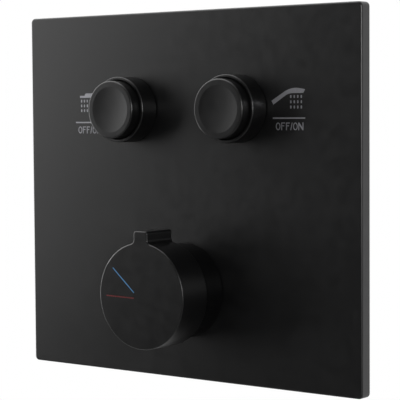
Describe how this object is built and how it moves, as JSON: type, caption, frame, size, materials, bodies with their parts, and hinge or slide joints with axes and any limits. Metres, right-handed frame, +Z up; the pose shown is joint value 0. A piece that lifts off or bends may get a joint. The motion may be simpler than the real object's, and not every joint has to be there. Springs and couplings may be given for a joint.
{
  "type": "concealed thermostatic shower mixer",
  "caption": "Matte black concealed thermostatic shower mixer: wall plate with a temperature dial and push buttons, and a brass valve body with threaded inlets and outlets behind the wall.",
  "frame": {"origin": "middle of the wall plate on the wall plane, at the gasket's back face", "axes": "+X to the right seen from the front, +Y into the wall, +Z up"},
  "size_m": [0.18, 0.1001, 0.16],
  "materials": {
    "matte_black": "matte black powder coat",
    "sign_ink": "screen printed silver grey",
    "blue_enamel": "blue enamel fill",
    "red_enamel": "red enamel fill",
    "gasket_rubber": "soft foam rubber",
    "seal_rubber": "greased nitrile",
    "cast_brass": "sand cast, machined at the mouths",
    "turned_brass": "turned",
    "bracket_steel": "zinc plated sheet",
    "screw_steel": "stainless, machined",
    "spring_steel": "stainless wire and strip",
    "copper": "drawn copper",
    "grey_plastic": "glass-filled moulding",
    "white_plastic": "acetal moulding",
    "strainer_steel": "stainless mesh"
  },
  "bodies": {
    "mixer": {"cover_plate": "matte_black", "plate_gasket": "gasket_rubber", "valve_body": "cast_brass", "wall_bracket": "bracket_steel", "bracket_screws": "screw_steel", "dial_sleeve": "matte_black", "dial_sleeve_washer": "gasket_rubber", "stop_ring": "white_plastic", "spindle_seal": "seal_rubber", "thermostat_nut": "turned_brass", "thermostat_housing": "grey_plastic", "thermostat_orings": "seal_rubber", "spring_retainer": "spring_steel", "regulator_spring": "spring_steel", "left_collar": "matte_black", "left_collar_washer": "gasket_rubber", "left_cartridge_housing": "grey_plastic", "left_cartridge_orings": "seal_rubber", "left_gland_nut": "turned_brass", "left_rod_seal": "seal_rubber", "left_return_spring": "spring_steel", "right_collar": "matte_black", "right_collar_washer": "gasket_rubber", "right_cartridge_housing": "grey_plastic", "right_cartridge_orings": "seal_rubber", "right_gland_nut": "turned_brass", "right_rod_seal": "seal_rubber", "right_return_spring": "spring_steel", "hot_strainer": "strainer_steel", "hot_check_housing": "white_plastic", "hot_check_spring": "spring_steel", "cold_strainer": "strainer_steel", "cold_check_housing": "white_plastic", "cold_check_spring": "spring_steel"},
    "dial": {"dial": "matte_black", "cold_mark": "blue_enamel", "hot_mark": "red_enamel", "dial_insert": "white_plastic", "dial_grub_screw": "screw_steel", "temperature_spindle": "turned_brass", "spindle_clip": "spring_steel"},
    "regulator": {"drive_nut": "grey_plastic", "wax_element": "copper", "shuttle": "grey_plastic"},
    "left_button": {"left_button_cap": "matte_black", "left_push_rod": "turned_brass", "left_poppet": "turned_brass", "left_poppet_seal": "seal_rubber"},
    "left_rotor": {"left_ratchet": "white_plastic"},
    "right_button": {"right_button_cap": "matte_black", "right_push_rod": "turned_brass", "right_poppet": "turned_brass", "right_poppet_seal": "seal_rubber"},
    "right_rotor": {"right_ratchet": "white_plastic"},
    "hot_check": {"hot_check_poppet": "white_plastic"},
    "cold_check": {"cold_check_poppet": "white_plastic"}
  },
  "joints": [
    {"name": "dial_turn", "type": "hinge", "parent": "mixer", "child": "dial", "pos_m": [0, 0, -0.0411], "axis": [0, -1, 0], "range_deg": [-180, 90]},
    {"name": "regulator_slide", "type": "slide", "parent": "mixer", "child": "regulator", "axis": [0, 1, 0], "range_m": [-0.00202, 0.00102], "deforming": ["regulator_spring"]},
    {"name": "left_push", "type": "slide", "parent": "mixer", "child": "left_button", "axis": [0, 1, 0], "range_m": [0, 0.004], "stiffness_N_per_m": 1200, "springref_m": -0.003, "deforming": ["left_return_spring"]},
    {"name": "left_ratchet_turn", "type": "hinge", "parent": "left_button", "child": "left_rotor", "pos_m": [-0.0294, 0, 0.0375], "axis": [0, 1, 0], "range_deg": [-1, 46]},
    {"name": "right_push", "type": "slide", "parent": "mixer", "child": "right_button", "axis": [0, 1, 0], "range_m": [0, 0.004], "stiffness_N_per_m": 1200, "springref_m": -0.003, "deforming": ["right_return_spring"]},
    {"name": "right_ratchet_turn", "type": "hinge", "parent": "right_button", "child": "right_rotor", "pos_m": [0.0294, 0, 0.0375], "axis": [0, 1, 0], "range_deg": [-1, 46]},
    {"name": "hot_check_open", "type": "slide", "parent": "mixer", "child": "hot_check", "axis": [1, 0, 0], "range_m": [0, 0.0025], "stiffness_N_per_m": 250, "springref_m": -0.0007, "deforming": ["hot_check_spring"]},
    {"name": "cold_check_open", "type": "slide", "parent": "mixer", "child": "cold_check", "axis": [-1, 0, 0], "range_m": [0, 0.0025], "stiffness_N_per_m": 250, "springref_m": -0.0007, "deforming": ["cold_check_spring"]}
  ],
  "couplings": [
    {"joint": "regulator_slide", "follows": "dial_turn", "m_per_rad": 0.00063662},
    {"joint": "left_ratchet_turn", "follows": "left_push", "rad_per_m": 196.35},
    {"joint": "right_ratchet_turn", "follows": "right_push", "rad_per_m": 196.35}
  ]
}
